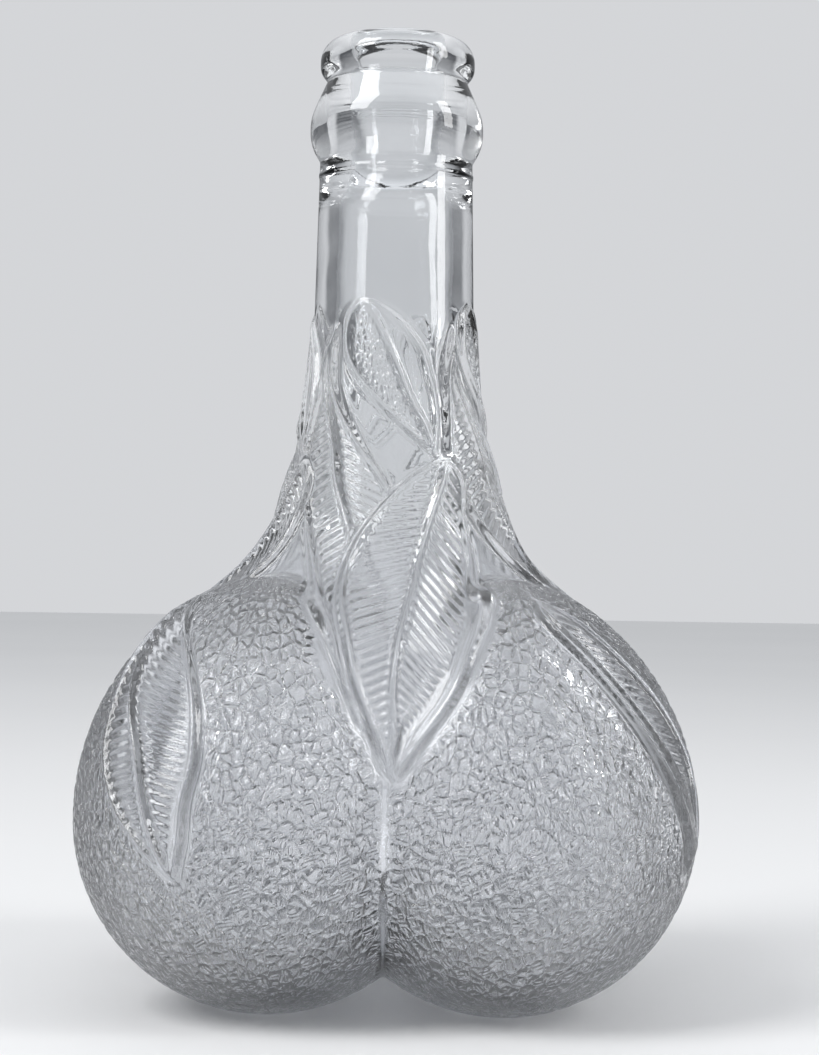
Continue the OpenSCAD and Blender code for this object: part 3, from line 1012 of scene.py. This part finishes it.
def floor():
    """A pale floor, just under the bottle."""
    mesh = bpy.data.meshes.new("floor")
    wide = FLOOR_HALF
    corners = [(-wide, -wide, 0), (wide, -wide, 0), (wide, wide, 0), (-wide, wide, 0)]
    mesh.from_pydata(corners, [], [(0, 1, 2, 3)])
    mat = bpy.data.materials.new("floor")
    mat.use_nodes = True
    nodes, links = mat.node_tree.nodes, mat.node_tree.links
    shader = nodes["Principled BSDF"]
    shader.inputs["Roughness"].default_value = 0.7
    noise = nodes.new("ShaderNodeTexNoise")
    noise.inputs["Scale"].default_value = CLOUD_SCALE
    place = nodes.new("ShaderNodeTexCoord")
    links.new(place.outputs["Object"], noise.inputs["Vector"])
    ramp = nodes.new("ShaderNodeMapRange")
    ramp.inputs["To Min"].default_value = FLOOR_TONES[0]
    ramp.inputs["To Max"].default_value = FLOOR_TONES[1]
    links.new(noise.outputs["Fac"], ramp.inputs["Value"])
    links.new(ramp.outputs["Result"], shader.inputs["Base Color"])
    mesh.materials.append(mat)
    obj = bpy.data.objects.new("floor", mesh)
    obj.location.z = -FLOOR_GAP
    bpy.context.scene.collection.objects.link(obj)
    return obj


def lamp(name, place, aim, size, power):
    """A soft panel of light that faces a point."""
    data = bpy.data.lights.new(name, "AREA")
    data.shape = "RECTANGLE"
    data.size, data.size_y = size
    data.energy = power
    obj = bpy.data.objects.new(name, data)
    obj.location = place
    obj.rotation_euler = (Vector(aim) - Vector(place)).to_track_quat("-Z", "Y").to_euler()
    bpy.context.scene.collection.objects.link(obj)
    return obj


def surround():
    """A soft grey room, paler above. The camera sees it pale, and so do rays that go nearly
    straight ahead through the glass, which leaves dark edges where the glass bends them."""
    world = bpy.data.worlds.new("surround")
    world.use_nodes = True
    made = Nodes(world.node_tree)
    nodes, links = made.nodes, made.links
    back = nodes["Background"]
    way = nodes.new("ShaderNodeTexCoord")
    split = nodes.new("ShaderNodeSeparateXYZ")
    links.new(way.outputs["Generated"], split.inputs[0])
    ramp = nodes.new("ShaderNodeValToRGB")
    ramp.color_ramp.elements[0].position = 0.0
    ramp.color_ramp.elements[0].color = ROOM_LOW
    ramp.color_ramp.elements[1].position = ROOM_TOP
    ramp.color_ramp.elements[1].color = ROOM_HIGH
    links.new(split.outputs["Z"], ramp.inputs[0])
    links.new(ramp.outputs[0], back.inputs["Color"])
    pale = nodes.new("ShaderNodeBackground")
    pale.inputs["Color"].default_value = BEHIND
    path = nodes.new("ShaderNodeLightPath")
    ahead = nodes.new("ShaderNodeMapRange")
    ahead.interpolation_type = "SMOOTHSTEP"
    ahead.inputs["From Min"].default_value = AHEAD[0]
    ahead.inputs["From Max"].default_value = AHEAD[1]
    links.new(split.outputs["Y"], ahead.inputs["Value"])
    through = made.maths("MULTIPLY", path.outputs["Is Transmission Ray"], ahead.outputs[0])
    choice = made.maths("MAXIMUM", through, path.outputs["Is Camera Ray"])
    mix = nodes.new("ShaderNodeMixShader")
    links.new(choice, mix.inputs[0])
    links.new(back.outputs[0], mix.inputs[1])
    links.new(pale.outputs[0], mix.inputs[2])
    links.new(mix.outputs[0], nodes["World Output"].inputs[0])
    bpy.context.scene.world = world


def camera():
    """The photograph's viewpoint: nearly level, a little rolled. The picture's height and the
    focal length are in pixels of the photograph."""
    height, distance, aside = 71.6, 387.45, 3.2
    pitch, roll = math.radians(1.082), math.radians(-0.85)
    picture_h, focal = 1055, 2250
    data = bpy.data.cameras.new("camera")
    data.sensor_fit = "VERTICAL"
    data.sensor_height = 24.0
    data.lens = data.sensor_height * focal / picture_h
    data.clip_start = 0.01
    right = Vector((1, 0, 0))
    up = Vector((0, -math.sin(pitch), math.cos(pitch)))
    forward = Vector((0, math.cos(pitch), math.sin(pitch)))
    right_2 = math.cos(roll) * right - math.sin(roll) * up
    up_2 = math.sin(roll) * right + math.cos(roll) * up
    matrix = Matrix((right_2, up_2, -forward)).transposed().to_4x4()
    matrix.translation = Vector((aside, -distance, height)) * MM
    obj = bpy.data.objects.new("camera", data)
    bpy.context.scene.collection.objects.link(obj)
    obj.matrix_world = matrix
    bpy.context.scene.camera = obj


surround()
camera()
floor()
lamp("key", (-0.7, -0.5, 0.9), aim=(0, 0, 0.08), size=(0.5, 0.7), power=9)
lamp("fill", (0.9, -0.3, 0.5), aim=(0, 0, 0.08), size=(0.25, 0.8), power=5)
bpy.context.scene.view_settings.view_transform = "Standard"
